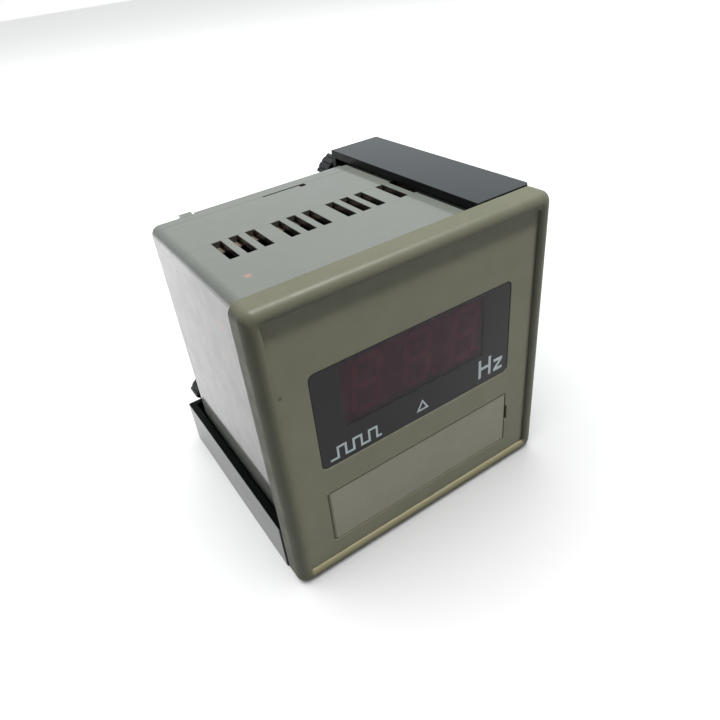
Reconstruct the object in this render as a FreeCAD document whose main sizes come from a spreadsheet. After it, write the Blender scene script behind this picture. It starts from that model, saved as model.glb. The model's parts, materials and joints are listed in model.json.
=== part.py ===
import FreeCAD, Part
import math
import os
import Sketcher
from FreeCAD import Rotation, Vector

# Square panel-mount frequency counter: bezel, case, two corner clamps, and what is inside.
#
# Lengths are millimetres. Each piece is laid out from the middle of the bezel's front face:
# x to the right, depth from the front face to the rear, height above or below the middle.
# In the finished frame +Z is up, the front faces -Y, and the origin is the middle of the
# bounding box's base.

DRIVING_SIZES = [
    # Bezel and front panel
    ("bezel_width", 96.0), ("bezel_depth", 8.0), ("bezel_rim", 4.3), ("bezel_corner", 3.0),
    ("bezel_round", 1.6), ("bezel_back_round", 0.7), ("bezel_inner_round", 1.2),
    ("bezel_lip_round", 0.6), ("ledge_width", 2.0), ("ledge_rear", 6.0), ("socket_play", 0.1),
    ("panel_recess", 1.1), ("panel_thickness", 3.2), ("panel_play", 0.1),
    ("boss_reach", 38.5), ("boss_radius", 2.75), ("pilot_radius", 1.3), ("pilot_floor", 6.0),
    # Window and access opening
    ("window_half", 34.5), ("window_bottom", -8.2), ("window_top", 24.8), ("window_corner", 2.0),
    ("window_step", 1.4), ("step_inset", 1.5), ("filter_play", 0.15), ("filter_thickness", 1.2),
    ("access_bottom", -37.5), ("access_top", -17.3), ("access_corner", 0.6), ("door_play", 0.2),
    ("door_thickness", 2.0), ("door_recess", 0.1), ("hinge_inset", 1.3), ("pin_radius", 0.6),
    ("pin_play", 0.05), ("pin_reach", 1.2), ("notch_width", 0.9), ("notch_depth", 1.5),
    ("notch_bottom", -28.8), ("notch_top", -22.9),
    # Case
    ("case_width", 90.0), ("case_wall", 2.0), ("case_corner", 3.0), ("case_inner_round", 1.0),
    ("shell_front", 6.1), ("shell_seam", 47.0), ("cover_seam", 68.5), ("case_rear", 73.5),
    ("cover_plate", 2.5), ("cover_round", 1.0),
    ("slot_first", -35.5), ("slot_pitch", 5.25), ("slot_group_pitch", 18.8), ("slot_width", 2.9),
    ("slot_front", 34.0),
    ("tongue_front", 43.0), ("tongue_half", 20.0), ("tongue_thickness", 1.1),
    ("corner_block", 13.5), ("corner_block_front", 58.0), ("insert_radius", 3.5),
    ("cover_hole_radius", 3.0), ("rail_height", 2.0), ("rail_reach", 2.2), ("rail_front", 20.0),
    ("latch_left", -8.5), ("latch_right", 7.0), ("latch_slit", 0.7), ("latch_hole", 2.2),
    ("latch_tab_reach", 3.5), ("latch_tab_thickness", 1.5), ("nib_left", -35.0),
    ("nib_width", 4.0), ("nib_reach", 1.1), ("nib_drop", 2.0), ("nib_rise", 0.3),
    ("rim_left", -30.1), ("rim_right", 25.0), ("rim_reach", 0.4), ("rim_drop", 0.1),
    ("sheet_front", 43.5), ("sheet_rear", 57.5), ("sheet_half", 38.0), ("sheet_thickness", 0.4),
    # Corner clamps
    ("clamp_top_width", 20.5), ("clamp_side_width", 18.0), ("clamp_wall", 2.6),
    ("clamp_front", 8.3), ("clamp_rear", 83.0), ("clamp_plate", 2.5), ("clamp_chamfer", 1.5),
    ("clamp_round", 0.6), ("clamp_hole_radius", 2.6),
    # Wing knobs, their studs and inserts
    ("screw_reach", 34.5), ("knob_front", 83.3), ("knob_rear", 91.5), ("hub_radius", 5.0),
    ("wing_radius", 10.8), ("wing_tip_half", 4.0), ("wing_neck_half", 3.0), ("wing_step", 0.8),
    ("wing_round", 0.6), ("grip_radius", 0.3), ("knob_socket", 5.0), ("stud_radius", 2.5),
    ("stud_front", 58.5), ("insert_play", 0.1), ("insert_length", 9.9),
    # Display board and what it carries
    ("board_thickness", 1.6), ("display_board_front", 13.0), ("display_board_half", 42.0),
    ("screw_clearance", 1.4), ("screw_radius", 1.25), ("screw_head_radius", 2.3),
    ("screw_head", 1.6), ("screw_front", 8.0), ("screw_slot", 0.6),
    ("digit_width", 17.2), ("digit_pitch", 17.3), ("digit_height", 21.0), ("digit_depth", 9.8),
    ("digit_first", -25.2), ("digit_bottom", 2.0),
    ("driver_half", 18.0), ("driver_bottom", 7.0), ("driver_depth", 3.6), ("driver_height", 7.5),
    ("trimmer_size", 9.5), ("trimmer_depth", 4.0), ("trimmer_spacing", 24.0),
    ("rotor_radius", 2.9), ("rotor_play", 0.05), ("rotor_socket", 1.6), ("rotor_proud", 0.9),
    ("rotor_length", 2.4), ("rotor_slot", 0.8),
    # Main board and what it carries
    ("main_board_front", 18.0), ("main_board_rear", 57.0), ("main_board_half", 42.0),
    ("main_board_under", -36.0),
    ("connector_half", 12.5), ("connector_rear", 23.0), ("connector_height", 6.0),
    ("core_width", 30.0), ("core_depth", 13.0), ("core_height", 25.0), ("core_leg", 5.0),
    ("core_x", -20.0), ("core_middle", 41.0), ("bobbin_play", 0.1), ("bobbin_overhang", 6.0),
    ("sink_left", 25.0), ("sink_front", 49.0), ("sink_width", 16.0), ("sink_depth", 7.0),
    ("sink_height", 25.0), ("sink_metal", 2.0),
    ("fuse_left", -39.0), ("fuse_middle", 24.0), ("fuse_rise", 4.5), ("fuse_radius", 2.6),
    ("fuse_length", 20.0), ("clip_left", -38.5), ("clip_spacing", 14.0), ("clip_width", 5.0),
    ("clip_depth", 7.2), ("clip_height", 6.0), ("clip_mouth", 4.4),
    # Terminals
    ("terminal_board_front", 64.0), ("terminal_board_half", 33.0), ("terminal_board_high", 20.0),
    ("terminal_half", 31.0), ("terminal_high", 9.0), ("terminal_rear", 79.5),
    ("terminal_pitch", 5.08), ("terminal_count", 12), ("terminal_play", 0.2),
    ("wire_entry", 3.6), ("wire_entry_depth", 9.0), ("wire_entry_height", -4.2),
    ("terminal_screw_height", 3.8), ("terminal_screw_radius", 1.9),
    ("terminal_well_radius", 2.1), ("terminal_well_depth", 5.0), ("cage_wall", 0.6),
    ("cage_play", 0.1), ("cage_length", 6.0), ("terminal_head", 4.0), ("terminal_slot", 1.0),
    # How far a feature runs into the one it joins
    ("joining", 0.5),
]

# Upright cans on the main board: x, depth, radius and height.
BOARD_CANS = {
    "smoothing_capacitor": (14.0, 47.0, 8.0, 25.0),
    "filter_capacitor": (6.0, 30.0, 4.0, 12.0),
}
# Blocks on the main board: left side, front, width, depth and height.
BOARD_BLOCKS = {
    "bridge_rectifier": (-6.0, 50.0, 9.0, 5.0, 8.0),
    "voltage_regulator": (30.0, 44.0, 10.0, 4.5, 15.0),
    "counter_chip": (15.0, 27.0, 21.0, 7.5, 3.6),
    "quartz_crystal": (15.0, 20.5, 11.0, 4.7, 13.5),
}
CAN_WORDS = ("x", "depth", "radius", "height")
BLOCK_WORDS = ("left", "front", "width", "depth", "height")
for words, table in ((CAN_WORDS, BOARD_CANS), (BLOCK_WORDS, BOARD_BLOCKS)):
    for name, sizes in table.items():
        DRIVING_SIZES += [(name + "_" + word, size) for word, size in zip(words, sizes)]

# Turn of the wing knobs at rest, from upright towards the left, seen from the front.
WING_REST_ANGLE = 42.0
# Grip grooves on each wing tip, by their angle from the wing's middle line.
GRIP_ANGLES = (-13.0, 0.0, 13.0)
SLOT_GROUPS = 4
SLOTS_IN_GROUP = 3
DIGITS = 3
CORNERS = ((1, 1), (-1, 1), (1, -1), (-1, -1))
ALONG_Y = Rotation(Vector(1, 0, 0), -90)
ALONG_X = Rotation(Vector(0, 1, 0), 90)
UPRIGHT = Rotation()
# Two points this close are taken as one.
CLOSE = 1e-3

# The sketch plane for each direction, and whether its normal points that way.
PLANES = {"y": ("XZ_Plane", False), "z": ("XY_Plane", True)}

document = FreeCAD.newDocument("frequency_counter")
sheet = document.addObject("Spreadsheet::Sheet", "Sizes")
for row, (alias, size) in enumerate(DRIVING_SIZES, start=1):
    sheet.set("A%d" % row, alias)
    sheet.set("B%d" % row, str(size))
    sheet.setAlias("B%d" % row, alias)
document.recompute()

nodes = {}


def bound(expression):
    """The expression with each driving size written as a cell of the sheet."""
    words = expression.replace("(", " ( ").replace(")", " ) ").split()
    aliases = {alias for alias, size in DRIVING_SIZES}
    return " ".join("Sizes." + word if word in aliases else word for word in words)


def number(expression):
    """The expression's present value."""
    return float(sheet.evalExpression(bound(expression)))


def node(name, piece):
    """Keeps a finished piece under the name of its file."""
    piece.Label = name
    nodes[name] = piece
    return piece


# ---- PartDesign bodies ---------------------------------------------------------------


def new_body(name, x="0", height="0", turn=None):
    """A body whose own origin is the middle of the bezel's front face, shifted by x and height."""
    body = document.addObject("PartDesign::Body", name)
    if turn is not None:
        body.Placement = FreeCAD.Placement(Vector(), turn)
    body.setExpression("Placement.Base.x", bound(x))
    body.setExpression("Placement.Base.y", bound("- knob_rear / 2"))
    body.setExpression("Placement.Base.z", bound("bezel_width / 2 + ( " + height + " )"))
    return node(name, body)


def constrain(sketch, kind, places, expression):
    """Adds one dimension to a sketch and binds it to the sheet."""
    index = sketch.addConstraint(Sketcher.Constraint(kind, *places, number(expression)))
    sketch.setExpression("Constraints[%d]" % index, bound(expression))


def draw_polygon(sketch, points):
    """A closed outline of straight lines, each corner placed from the sketch's origin."""
    spots = [Vector(number(across), number(up), 0) for across, up in points]
    lines = []
    for start, end in zip(spots, spots[1:] + spots[:1]):
        lines.append(sketch.addGeometry(Part.LineSegment(start, end)))
    for line, following in zip(lines, lines[1:] + lines[:1]):
        sketch.addConstraint(Sketcher.Constraint("Coincident", line, 2, following, 1))
    for line, (across, up) in zip(lines, points):
        constrain(sketch, "DistanceX", (-1, 1, line, 1), across)
        constrain(sketch, "DistanceY", (-1, 1, line, 1), up)


def draw_circle(sketch, across, up, radius):
    """A circle placed from the sketch's origin."""
    centre = Vector(number(across), number(up), 0)
    circle = sketch.addGeometry(Part.Circle(centre, Vector(0, 0, 1), number(radius)))
    constrain(sketch, "DistanceX", (-1, 1, circle, 3), across)
    constrain(sketch, "DistanceY", (-1, 1, circle, 3), up)
    constrain(sketch, "Radius", (circle,), radius)


def rectangle(left, bottom, right, top):
    """The four corners of an upright rectangle, as expressions."""
    return [(left, bottom), (right, bottom), (right, top), (left, top)]


def square(half):
    """A square about the middle."""
    return rectangle("- ( %s )" % half, "- ( %s )" % half, half, half)


def add_sketch(body, name, direction, start, outlines):
    """A sketch square to a direction and start mm along it. A circle is (across, up, radius)."""
    role, normal_points_along = PLANES[direction]
    plane = [entry for entry in body.Origin.OriginFeatures if entry.Role == role][0]
    sketch = body.newObject("Sketcher::SketchObject", body.Name + "_" + name + "_sketch")
    sketch.AttachmentSupport = [(plane, "")]
    sketch.MapMode = "FlatFace"
    sign = "" if normal_points_along else "- "
    sketch.setExpression("AttachmentOffset.Base.z", bound("%s( %s )" % (sign, start)))
    for outline in outlines:
        if isinstance(outline, tuple):
            draw_circle(sketch, *outline)
        else:
            draw_polygon(sketch, outline)
    return sketch


def add_feature(body, kind, name, direction, start, length, outlines):
    """A pad or pocket that runs from start for a length, and is checked to change the volume."""
    sketch = add_sketch(body, name, direction, start, outlines)
    before = body.Shape.Volume if body.Tip else 0.0
    feature = body.newObject("PartDesign::" + kind, body.Name + "_" + name)
    feature.Profile = sketch
    normal_points_along = PLANES[direction][1]
    feature.Reversed = normal_points_along if kind == "Pocket" else not normal_points_along
    feature.setExpression("Length", bound(length))
    document.recompute()
    change = body.Shape.Volume - before
    if (change <= 0) == (kind == "Pad"):
        raise RuntimeError("%s changes the volume by %.3f" % (feature.Name, change))
    return feature


def pad(body, name, direction, start, length, outlines):
    return add_feature(body, "Pad", name, direction, start, length, outlines)


def pocket(body, name, direction, start, length, outlines):
    return add_feature(body, "Pocket", name, direction, start, length, outlines)


def finish_edges(body, kind, name, size, wanted):
    """Rounds or bevels the edges of the body that a test picks by their two end points."""
    base = body.Tip
    edges = []
    for index, edge in enumerate(base.Shape.Edges, start=1):
        if wanted([vertex.Point for vertex in edge.Vertexes]):
            edges.append("Edge%d" % index)
    if not edges:
        raise RuntimeError("no edges for %s_%s" % (body.Name, name))
    feature = body.newObject("PartDesign::" + kind, body.Name + "_" + name)
    feature.Base = (base, edges)
    feature.setExpression("Radius" if kind == "Fillet" else "Size", bound(size))
    document.recompute()
    return feature


def runs_deep(points):
    """Whether an edge runs front to back."""
    return len(points) == 2 and abs(points[0].x - points[1].x) + abs(points[0].z - points[1].z) < CLOSE


def deep_at(reach):
    """Picks the front to back edges at the corners of a square about the middle."""
    def wanted(points):
        return runs_deep(points) and all(
            abs(abs(p.x) - reach) < CLOSE and abs(abs(p.z) - reach) < CLOSE for p in points)
    return wanted


def rim_at(depth, least, most):
    """Picks the edges of a square outline at one depth, by how far out they reach."""
    def wanted(points):
        return len(points) == 2 and all(
            abs(p.y - depth) < CLOSE and least < max(abs(p.x), abs(p.z)) < most for p in points)
    return wanted


# ---- Part primitives -----------------------------------------------------------------


def put(piece, x, depth, height, turn=UPRIGHT):
    """Places a primitive from the middle of the bezel's front face."""
    piece.Placement = FreeCAD.Placement(Vector(), turn)
    piece.setExpression("Placement.Base.x", bound(x))
    piece.setExpression("Placement.Base.y", bound(depth + " - knob_rear / 2"))
    piece.setExpression("Placement.Base.z", bound(height + " + bezel_width / 2"))
    return piece


def box(name, x, depth, height, size_x, size_y, size_z):
    """A box from its left, front, lowest corner."""
    piece = document.addObject("Part::Box", name)
    for side, size in (("Length", size_x), ("Width", size_y), ("Height", size_z)):
        piece.setExpression(side, bound(size))
    return put(piece, x, depth, height)


def cylinder(name, x, depth, height, radius, length, turn=ALONG_Y):
    """A cylinder from the middle of its first end, along Y unless turned."""
    piece = document.addObject("Part::Cylinder", name)
    piece.setExpression("Radius", bound(radius))
    piece.setExpression("Height", bound(length))
    return put(piece, x, depth, height, turn)


def fuse(name, pieces):
    joined = document.addObject("Part::MultiFuse", name)
    joined.Shapes = pieces
    return joined


def cut(name, base, tools):
    """The base less one tool or several."""
    result = document.addObject("Part::Cut", name)
    result.Base = base
    result.Tool = tools[0] if len(tools) == 1 else fuse(name + "_tools", tools)
    return result


def group(name, pieces):
    """Separate solids kept as one node."""
    together = document.addObject("Part::Compound", name)
    together.Links = pieces
    return together


# ---- Bezel and front -----------------------------------------------------------------


def make_bezel():
    body = new_body("bezel")
    outer = number("bezel_width / 2")
    opening = "bezel_width / 2 - bezel_rim"
    pad(body, "block", "y", "0", "bezel_depth", [square("bezel_width / 2")])
    finish_edges(body, "Fillet", "corners", "bezel_corner", deep_at(outer))
    pocket(body, "opening", "y", "0", "panel_recess + panel_thickness", [square(opening)])
    finish_edges(body, "Fillet", "opening_corners", "bezel_inner_round", deep_at(number(opening)))
    pocket(body, "ledge", "y", "panel_recess + panel_thickness", "bezel_depth",
           [square(opening + " - ledge_width")])
    pocket(body, "socket", "y", "ledge_rear", "bezel_depth - ledge_rear",
           [square("case_width / 2 + socket_play")])
    between = number(opening + " + bezel_rim / 2")
    finish_edges(body, "Fillet", "front_round", "bezel_round", rim_at(0.0, between, outer + 1))
    finish_edges(body, "Fillet", "back_round", "bezel_back_round",
                 rim_at(number("bezel_depth"), number("case_width / 2 + 1"), outer + 1))
    finish_edges(body, "Fillet", "lip_round", "bezel_lip_round", rim_at(0.0, 0.0, between))


def window(inset):
    """The window's outline, drawn in by an inset."""
    half = "window_half - " + inset
    return rectangle("- ( %s )" % half, "window_bottom + " + inset, half, "window_top - " + inset)


def access(inset):
    """The access opening's outline, drawn in by an inset."""
    half = "window_half - " + inset
    return rectangle("- ( %s )" % half, "access_bottom + " + inset, half, "access_top - " + inset)


def deep_corners(half, bottom, top):
    """Picks the front to back edges at the corners of one upright rectangle."""
    half, bottom, top = number(half), number(bottom), number(top)

    def wanted(points):
        return runs_deep(points) and all(
            abs(abs(p.x) - half) < CLOSE and min(abs(p.z - bottom), abs(p.z - top)) < CLOSE
            for p in points)
    return wanted


HINGE_X = "hinge_inset - window_half"
HINGE_DEPTH = "panel_recess + door_recess + door_thickness / 2"


def make_front_panel():
    body = new_body("front_panel")
    half = "bezel_width / 2 - bezel_rim - panel_play"
    pad(body, "plate", "y", "panel_recess", "panel_thickness", [square(half)])
    finish_edges(body, "Fillet", "corners", "bezel_inner_round", deep_at(number(half)))
    pocket(body, "window_seat", "y", "panel_recess", "window_step", [window("0")])
    finish_edges(body, "Fillet", "window_corners", "window_corner",
                 deep_corners("window_half", "window_bottom", "window_top"))
    pocket(body, "window_opening", "y", "panel_recess", "panel_thickness", [window("step_inset")])
    door_seat = "door_recess + door_thickness + door_recess"
    pocket(body, "door_seat", "y", "panel_recess", door_seat, [access("0")])
    finish_edges(body, "Fillet", "door_corners", "access_corner",
                 deep_corners("window_half", "access_bottom", "access_top"))
    pocket(body, "access_opening", "y", "panel_recess", "panel_thickness", [access("step_inset")])
    pocket(body, "pry_notch", "y", "panel_recess", "notch_depth",
           [rectangle("window_half - notch_width", "notch_bottom", "window_half + notch_width",
                      "notch_top")])
    bosses = [("%d * boss_reach" % side, "%d * boss_reach" % rise, "boss_radius")
              for side, rise in CORNERS]
    pilots = [(across, up, "pilot_radius") for across, up, radius in bosses]
    pad(body, "bosses", "y", "panel_recess + panel_thickness - joining",
        "display_board_front - panel_recess - panel_thickness + joining", bosses)
    pocket(body, "pilots", "y", "pilot_floor", "display_board_front - pilot_floor", pilots)
    hole = [(HINGE_X, HINGE_DEPTH, "pin_radius + pin_play")]
    hole_length = "pin_reach + door_play"
    pocket(body, "lower_pin_hole", "z", "access_bottom - " + hole_length, hole_length, hole)
    pocket(body, "upper_pin_hole", "z", "access_top", hole_length, hole)


def make_display_filter():
    body = new_body("display_filter")
    pad(body, "plate", "y", "panel_recess + window_step - filter_thickness - 0.05",
        "filter_thickness", [window("filter_play")])
    finish_edges(body, "Fillet", "corners", "window_corner - filter_play",
                 deep_corners("window_half - filter_play", "window_bottom + filter_play",
                              "window_top - filter_play"))


def make_access_door():
    body = new_body("access_door")
    bottom = "access_bottom + door_play"
    top = "access_top - door_play"
    pad(body, "plate", "y", "panel_recess + door_recess", "door_thickness",
        [rectangle(HINGE_X, bottom, "window_half - door_play", top)])
    pad(body, "hinge_edge", "z", bottom, "access_top - access_bottom - 2 * door_play",
        [(HINGE_X, HINGE_DEPTH, "door_thickness / 2")])
    pad(body, "pins", "z", bottom + " - pin_reach",
        "access_top - access_bottom - 2 * door_play + 2 * pin_reach",
        [(HINGE_X, HINGE_DEPTH, "pin_radius")])


# ---- Case ----------------------------------------------------------------------------


def make_tube(body, start, length):
    """A square tube with the case's section."""
    pad(body, "block", "y", start, length, [square("case_width / 2")])
    finish_edges(body, "Fillet", "corners", "case_corner", deep_at(number("case_width / 2")))
    pocket(body, "hollow", "y", start, length, [square("case_width / 2 - case_wall")])
    inner = number("case_width / 2 - case_wall")
    finish_edges(body, "Fillet", "hollow_corners", "case_inner_round", deep_at(inner))


def make_front_shell():
    body = new_body("front_shell")
    make_tube(body, "shell_front", "shell_seam - shell_front")
    slots = []
    for bank in range(SLOT_GROUPS):
        for place in range(SLOTS_IN_GROUP):
            left = "slot_first + %d * slot_group_pitch + %d * slot_pitch" % (bank, place)
            slots.append(rectangle(left, "slot_front", left + " + slot_width", "shell_seam"))
    pocket(body, "vents", "z", "- bezel_width / 2", "bezel_width", slots)
    wall = "case_width / 2 - case_wall"
    lower_rail = ("main_board_under - rail_height", "main_board_under")
    upper_rail = ("main_board_under + board_thickness",
                  "main_board_under + board_thickness + rail_height")
    rails = []
    for low, high in (lower_rail, upper_rail):
        rails.append(rectangle(wall + " - rail_reach", low, wall + " + joining", high))
        rails.append(rectangle("- ( %s + joining )" % wall, low, "- ( %s - rail_reach )" % wall,
                               high))
    pad(body, "rails", "y", "rail_front", "shell_seam - rail_front", rails)


def screw_spots(radius):
    """A circle at each corner's screw position."""
    return [("%d * screw_reach" % side, "%d * screw_reach" % rise, radius)
            for side, rise in CORNERS]


def make_rear_shell():
    body = new_body("rear_shell")
    make_tube(body, "shell_seam", "cover_seam - shell_seam")
    wall = "case_width / 2 - case_wall"
    blocks = []
    for side, rise in CORNERS:
        near_x = "%d * ( %s - corner_block )" % (side, wall)
        near_z = "%d * ( %s - corner_block )" % (rise, wall)
        blocks.append(rectangle(near_x, near_z, "%d * ( %s + joining )" % (side, wall),
                                "%d * ( %s + joining )" % (rise, wall)))
    pad(body, "corner_blocks", "y", "corner_block_front", "cover_seam - corner_block_front", blocks)
    pocket(body, "insert_bores", "y", "corner_block_front", "cover_seam - corner_block_front",
           screw_spots("insert_radius"))
    roots = []
    tongues = []
    for side in (1, -1):
        inner = "%d * ( %s - tongue_thickness )" % (side, wall)
        roots.append(rectangle(inner, "- tongue_half", "%d * ( %s + joining )" % (side, wall),
                               "tongue_half"))
        tongues.append(rectangle(inner, "- tongue_half",
                                 "%d * ( %s - socket_play )" % (side, wall), "tongue_half"))
    pad(body, "tongue_roots", "y", "shell_seam", "shell_seam - tongue_front", roots)
    pad(body, "tongues", "y", "tongue_front", "shell_seam - tongue_front + joining", tongues)
    slit_front = "cover_seam - latch_slit"
    pocket(body, "latch_slit", "z", wall, "case_wall",
           [rectangle("latch_left", slit_front, "latch_right", "cover_seam")])
    pocket(body, "latch_hole", "z", wall, "case_wall",
           [rectangle("latch_right - latch_hole", "cover_seam - latch_hole",
                      "latch_right", "cover_seam")])


def make_rear_cover():
    body = new_body("rear_cover")
    wall = "case_width / 2 - case_wall"
    pad(body, "block", "y", "cover_seam", "case_rear - cover_seam", [square("case_width / 2")])
    finish_edges(body, "Fillet", "corners", "case_corner", deep_at(number("case_width / 2")))
    finish_edges(body, "Fillet", "rear_round", "cover_round",
                 rim_at(number("case_rear"), number("case_width / 4"), number("case_width / 2 + 1")))
    pocket(body, "hollow", "y", "cover_seam", "case_rear - cover_seam - cover_plate", [square(wall)])
    pocket(body, "screw_holes", "y", "cover_seam", "case_rear - cover_seam",
           screw_spots("cover_hole_radius"))
    across = "terminal_half + terminal_play"
    up = "terminal_high + terminal_play"
    pocket(body, "terminal_opening", "y", "cover_seam", "case_rear - cover_seam",
           [rectangle("- ( %s )" % across, "- ( %s )" % up, across, up)])
    tab_top = wall + " - socket_play"
    tab_low = tab_top + " - latch_tab_thickness"
    tab_left = "latch_left + latch_slit"
    tab_right = "latch_right - latch_slit"
    pad(body, "tab_root", "y", "cover_seam", "case_rear - cover_seam - cover_plate / 2",
        [rectangle(tab_left, tab_low, tab_right, wall + " + joining")])
    pad(body, "latch_tab", "y", "cover_seam - latch_tab_reach", "latch_tab_reach + joining",
        [rectangle(tab_left, tab_low, tab_right, tab_top)])
    nib_top = "case_width / 2 + nib_rise"
    pad(body, "nib", "y", "case_rear - cover_round", "cover_round + nib_reach",
        [rectangle("nib_left", nib_top + " - nib_drop", "nib_left + nib_width", nib_top)])
    rim_top = "case_width / 2 - rim_drop"
    pad(body, "rim", "y", "case_rear - cover_round", "cover_round + rim_reach",
        [rectangle("rim_left", rim_top + " - nib_drop", "rim_right", rim_top)])
    pocket(body, "nib_slit", "y", "case_rear - cover_round", "cover_round + rim_reach",
           [rectangle("nib_left + nib_width", nib_top + " - nib_drop", "rim_left", nib_top)])


def make_insulation_sheet():
    """Pressboard under the top of the case, between the vents and the mains parts."""
    node("insulation_sheet", box("insulation_sheet", "- sheet_half", "sheet_front",
                                 "case_width / 2 - case_wall - sheet_thickness",
                                 "2 * sheet_half", "sheet_rear - sheet_front",
                                 "sheet_thickness"))


# ---- Corner clamps -------------------------------------------------------------------


def make_clamp(name, turn):
    """An L-section bracket along one corner of the case, with a plate across its rear end."""
    body = new_body(name, turn=turn)
    edge = "bezel_width / 2"
    inner = "bezel_width / 2 - clamp_wall"
    top_end = "bezel_width / 2 - clamp_top_width"
    side_end = "bezel_width / 2 - clamp_side_width"
    section = [(top_end, edge), (top_end, inner), (inner, inner), (inner, side_end),
               (edge, side_end), (edge, edge)]
    pad(body, "angle", "y", "clamp_front", "clamp_rear - clamp_front", [section])
    pad(body, "plate", "y", "clamp_rear - clamp_plate", "clamp_plate",
        [rectangle(top_end, side_end, edge, edge)])
    pocket(body, "screw_hole", "y", "clamp_rear - clamp_plate", "clamp_plate",
           [("screw_reach", "screw_reach", "clamp_hole_radius")])
    outer, front = number(edge), number("clamp_front")
    finish_edges(body, "Chamfer", "side_bevel", "clamp_chamfer", lambda points: all(
        abs(p.y - front) < CLOSE and abs(p.x - outer) < CLOSE for p in points))
    finish_edges(body, "Fillet", "corner_round", "clamp_round", lambda points: all(
        abs(p.x - outer) < CLOSE and abs(p.z - outer) < CLOSE for p in points))


def make_wing_knob(name, side):
    """A moulded knob with two broad wings. side is 1 for the upper one and -1 for the lower."""
    spot = "%d * screw_reach" % side
    body = new_body(name, spot, spot, Rotation(Vector(0, 1, 0), -WING_REST_ANGLE))
    length = "knob_rear - knob_front"
    wing_start = "knob_front + wing_step"
    wing_length = length + " - 2 * wing_step"
    tip = "wing_radius + joining"
    wings = [("- wing_tip_half", "- ( %s )" % tip), ("wing_tip_half", "- ( %s )" % tip),
             ("wing_neck_half", "0"), ("wing_tip_half", tip), ("- wing_tip_half", tip),
             ("- wing_neck_half", "0")]
    pad(body, "wings", "y", wing_start, wing_length, [wings])
    pocket(body, "tip_trim", "y", wing_start, wing_length,
           [("0", "0", "2 * wing_radius"), ("0", "0", "wing_radius")])
    grips = []
    for end in (0.0, 180.0):
        for angle in GRIP_ANGLES:
            turn = math.radians(end + angle)
            grips.append(("%.6f * wing_radius" % math.sin(turn),
                          "%.6f * wing_radius" % math.cos(turn), "grip_radius"))
    pocket(body, "grips", "y", wing_start, wing_length, grips)
    pad(body, "hub", "y", "knob_front", length, [("0", "0", "hub_radius")])
    rear = number("knob_rear")
    finish_edges(body, "Fillet", "hub_round", "wing_round",
                 lambda points: all(abs(p.y - rear) < CLOSE for p in points))
    pocket(body, "stud_socket", "y", "knob_front", "knob_socket", [("0", "0", "stud_radius")])


def make_screw(side, prefix):
    """The threaded stud in a knob, and the insert in the case that it screws into."""
    spot = "%d * screw_reach" % side
    length = "knob_front + knob_socket - stud_front"
    node(prefix + "_clamp_stud", cylinder(prefix + "_stud", spot, "stud_front", spot,
                                          "stud_radius", length))
    start = "corner_block_front"
    sleeve = cylinder(prefix + "_sleeve", spot, start, spot, "insert_radius", "insert_length")
    bore = cylinder(prefix + "_bore", spot, start, spot, "stud_radius + insert_play",
                    "insert_length")
    node(prefix + "_insert", cut(prefix + "_insert_cut", sleeve, [bore]))


# ---- Display board -------------------------------------------------------------------

DISPLAY_BOARD_REAR = "display_board_front + board_thickness"


def make_display_board():
    side = "2 * display_board_half"
    plate = box("display_plate", "- display_board_half", "display_board_front",
                "- display_board_half", side, "board_thickness", side)
    holes = []
    for index, (side_sign, rise) in enumerate(CORNERS):
        holes.append(cylinder("board_hole_%d" % index, "%d * boss_reach" % side_sign,
                              "display_board_front", "%d * boss_reach" % rise,
                              "screw_clearance", "board_thickness"))
    node("display_board", cut("display_board_cut", plate, holes))


def make_display_screws():
    screws = []
    for index, (side, rise) in enumerate(CORNERS):
        x, height = "%d * boss_reach" % side, "%d * boss_reach" % rise
        shank = cylinder("shank_%d" % index, x, "screw_front", height, "screw_radius",
                         DISPLAY_BOARD_REAR + " - screw_front")
        head = cylinder("head_%d" % index, x, DISPLAY_BOARD_REAR, height, "screw_head_radius",
                        "screw_head")
        slot = box("head_slot_%d" % index, x + " - screw_head_radius",
                   DISPLAY_BOARD_REAR + " + screw_head / 2", height + " - screw_slot / 2",
                   "2 * screw_head_radius", "screw_head", "screw_slot")
        screws.append(cut("screw_%d" % index, fuse("screw_blank_%d" % index, [shank, head]), [slot]))
    node("display_screws", group("display_screw_group", screws))


def make_digits():
    for index in range(DIGITS):
        left = "digit_first + %d * digit_pitch" % index
        name = "led_digit_%d" % (index + 1)
        node(name, box(name, left, "display_board_front - digit_depth", "digit_bottom",
                       "digit_width", "digit_depth", "digit_height"))


def make_trimmer(name, side):
    """A square potentiometer that faces the access opening, and its slotted rotor."""
    x = "%d * trimmer_spacing / 2" % side
    height = "( access_bottom + access_top ) / 2"
    front = "display_board_front - trimmer_depth"
    block = box(name + "_block", x + " - trimmer_size / 2", front, height + " - trimmer_size / 2",
                "trimmer_size", "trimmer_depth", "trimmer_size")
    well = cylinder(name + "_well", x, front, height, "rotor_radius + rotor_play", "rotor_socket")
    node(name + "_trimmer", cut(name + "_trimmer_cut", block, [well]))
    rotor_front = front + " - rotor_proud"
    disc = cylinder(name + "_disc", x, rotor_front, height, "rotor_radius", "rotor_length")
    slot = box(name + "_rotor_slot", x + " - rotor_radius", rotor_front,
               height + " - rotor_slot / 2", "2 * rotor_radius", "rotor_slot", "rotor_slot")
    node(name + "_trimmer_rotor", cut(name + "_rotor_cut", disc, [slot]))


# ---- Main board ----------------------------------------------------------------------

BOARD_TOP = "main_board_under + board_thickness"


def stand(name, left, front, width, depth, height):
    """A block that stands on the main board."""
    return node(name, box(name, left, front, BOARD_TOP, width, depth, height))


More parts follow.
